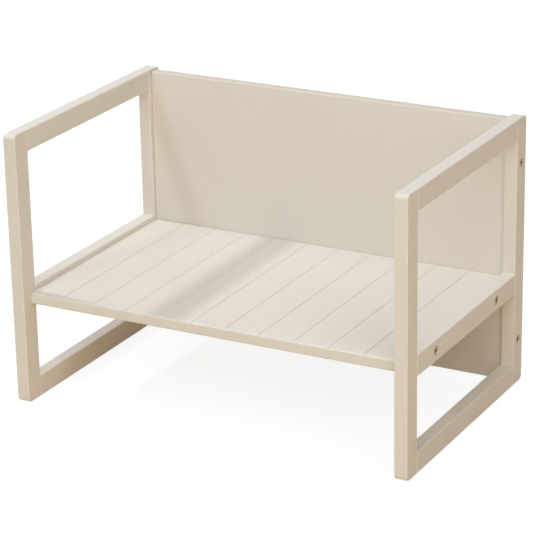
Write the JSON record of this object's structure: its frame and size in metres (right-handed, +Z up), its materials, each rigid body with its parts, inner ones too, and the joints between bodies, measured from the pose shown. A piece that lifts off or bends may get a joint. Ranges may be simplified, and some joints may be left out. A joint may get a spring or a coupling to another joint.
{
  "type": "childrens bench",
  "caption": "Low turn-over bench for small children: open side frames carry a grooved seat board and a full-height back panel; upside down, the seat is higher.",
  "frame": {"origin": "middle of the bench's floor area, at floor level", "axes": "+X along the seat's width, to the right seen from the front; +Y to the back panel; +Z up"},
  "size_m": [0.6, 0.38, 0.39],
  "materials": {
    "frame_lacquer": "satin cream lacquer",
    "seat_lacquer": "satin cream lacquer",
    "panel_lacquer": "satin cream lacquer",
    "dowel_wood": "bare beech",
    "bolt_steel": "bronzed steel",
    "nut_steel": "zinc plated"
  },
  "bodies": {
    "root": {"left_front_post": "frame_lacquer", "left_rear_post": "frame_lacquer", "left_top_rail": "frame_lacquer", "left_seat_rail": "frame_lacquer", "left_bottom_rail": "frame_lacquer", "left_top_rail_dowels": "dowel_wood", "left_seat_rail_dowels": "dowel_wood", "left_bottom_rail_dowels": "dowel_wood", "left_seat_bolts": "bolt_steel", "left_seat_nuts": "nut_steel", "left_back_bolts": "bolt_steel", "left_back_nuts": "nut_steel", "right_front_post": "frame_lacquer", "right_rear_post": "frame_lacquer", "right_top_rail": "frame_lacquer", "right_seat_rail": "frame_lacquer", "right_bottom_rail": "frame_lacquer", "right_top_rail_dowels": "dowel_wood", "right_seat_rail_dowels": "dowel_wood", "right_bottom_rail_dowels": "dowel_wood", "right_seat_bolts": "bolt_steel", "right_seat_nuts": "nut_steel", "right_back_bolts": "bolt_steel", "right_back_nuts": "nut_steel", "seat_board": "seat_lacquer", "back_panel": "panel_lacquer"}
  },
  "joints": []
}
